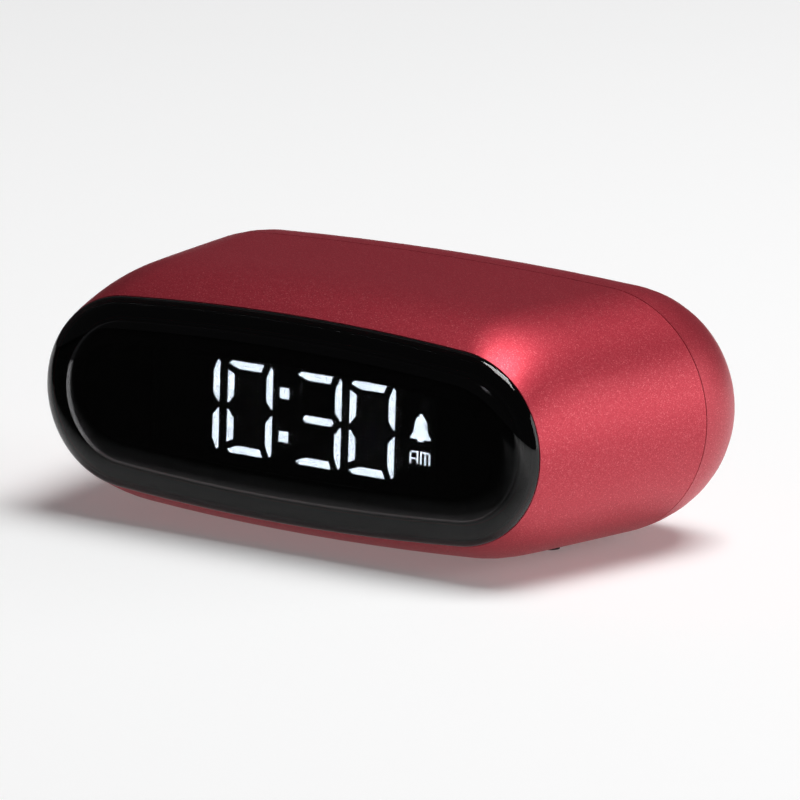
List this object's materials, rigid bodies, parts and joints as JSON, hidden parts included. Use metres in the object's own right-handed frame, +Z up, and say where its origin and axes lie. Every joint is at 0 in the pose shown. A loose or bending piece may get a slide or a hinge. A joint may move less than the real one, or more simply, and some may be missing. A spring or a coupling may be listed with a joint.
{
  "type": "digital alarm clock",
  "caption": "Small oval travel alarm clock with domed black window, lit digits, rear buttons, alarm slide switch and battery door underneath.",
  "frame": {"origin": "centre of the overall box on the plane the feet stand on", "axes": "+X to the right seen from the front, along the longest side; the display faces -Y; +Z up"},
  "size_m": [0.091, 0.0526, 0.0362],
  "materials": {
    "window": "smoked glossy acrylic",
    "shell_red": "metallic-flake lacquer over moulded plastic, satin gloss",
    "tape": "black tape",
    "mask_black": "matt black",
    "foot_rubber": "matt rubber",
    "foam": "black foam",
    "polarizer_film": "film",
    "lcd_glass": "clear glass",
    "lcd_dark": "dark display background",
    "lit_segments": "backlit display strokes",
    "guide_acrylic": "frosted acrylic",
    "led_body": "LED strip",
    "reflector_white": "white film",
    "elastomer": "striped elastomer",
    "board_green": "solder mask",
    "resin_black": "epoxy blob",
    "metal_can": "tinned can",
    "capacitor_sleeve": "shrink sleeve",
    "socket_white": "nylon",
    "ribbon_grey": "flat cable",
    "copper_foil": "copper foil",
    "wire_sleeve": "wire insulation",
    "tray_black": "moulded plastic",
    "cell_sleeve": "printed sleeve",
    "contact_metal": "nickel-plated steel",
    "key_black": "fine-grained plastic",
    "switch_black": "plastic",
    "plunger_cream": "plastic",
    "slider_case": "folded steel case",
    "buzzer_black": "plastic",
    "screw_steel": "zinc-plated steel"
  },
  "bodies": {
    "case": {"backlight_leds": "led_body", "backlight_reflector": "reflector_white", "battery_cell_front": "cell_sleeve", "battery_cell_rear": "cell_sleeve", "battery_leads": "wire_sleeve", "battery_tray": "tray_black", "board_screws": "screw_steel", "buzzer": "buzzer_black", "buzzer_gasket": "foam", "buzzer_lead": "wire_sleeve", "capacitor": "capacitor_sleeve", "clock_chip": "resin_black", "contact_plate_front": "contact_metal", "contact_plate_rear": "contact_metal", "contact_spring_front": "contact_metal", "contact_spring_rear": "contact_metal", "crystal": "metal_can", "display_frame": "mask_black", "display_mask": "mask_black", "elastomer_connector": "elastomer", "foot_front_left": "foot_rubber", "foot_front_right": "foot_rubber", "foot_rear_left": "foot_rubber", "foot_rear_right": "foot_rubber", "front_housing": "shell_red", "front_lens": "window", "housing_screws": "screw_steel", "key_board": "board_green", "key_board_screws": "screw_steel", "lcd_front_glass": "lcd_glass", "lcd_front_polarizer": "polarizer_film", "lcd_gasket": "foam", "lcd_mark_segments": "lit_segments", "lcd_rear_glass": "lcd_dark", "lcd_rear_polarizer": "lcd_dark", "lcd_time_segments": "lit_segments", "lens_adhesive": "tape", "light_guide": "guide_acrylic", "main_board": "board_green", "rear_housing": "shell_red", "ribbon_cable": "ribbon_grey", "ribbon_socket_key": "socket_white", "ribbon_socket_main": "socket_white", "slider_body": "slider_case", "switch_body_down": "switch_black", "switch_body_mode": "switch_black", "switch_body_up": "switch_black", "touch_lead": "wire_sleeve", "touch_plate": "copper_foil", "tray_screws": "screw_steel"},
    "door": {"battery_door": "shell_red"},
    "mode_button": {"button_mode": "key_black", "switch_plunger_mode": "plunger_cream"},
    "up_button": {"button_up": "key_black", "switch_plunger_up": "plunger_cream"},
    "down_button": {"button_down": "key_black", "switch_plunger_down": "plunger_cream"},
    "alarm_switch": {"alarm_knob": "key_black", "slider_lever": "switch_black"}
  },
  "joints": [
    {"name": "door_release", "type": "slide", "parent": "case", "child": "door", "axis": [0, 0, -1], "range_m": [0, 0.012]},
    {"name": "mode_press", "type": "slide", "parent": "case", "child": "mode_button", "axis": [0, -1, 0], "range_m": [0, 0.0006], "stiffness_N_per_m": 1200, "springref_m": -0.0004},
    {"name": "up_press", "type": "slide", "parent": "case", "child": "up_button", "axis": [0, -1, 0], "range_m": [0, 0.0006], "stiffness_N_per_m": 1200, "springref_m": -0.0004},
    {"name": "down_press", "type": "slide", "parent": "case", "child": "down_button", "axis": [0, -1, 0], "range_m": [0, 0.0006], "stiffness_N_per_m": 1200, "springref_m": -0.0004},
    {"name": "alarm_slide", "type": "slide", "parent": "case", "child": "alarm_switch", "axis": [1, 0, 0], "range_m": [-0.0025, 0]}
  ]
}
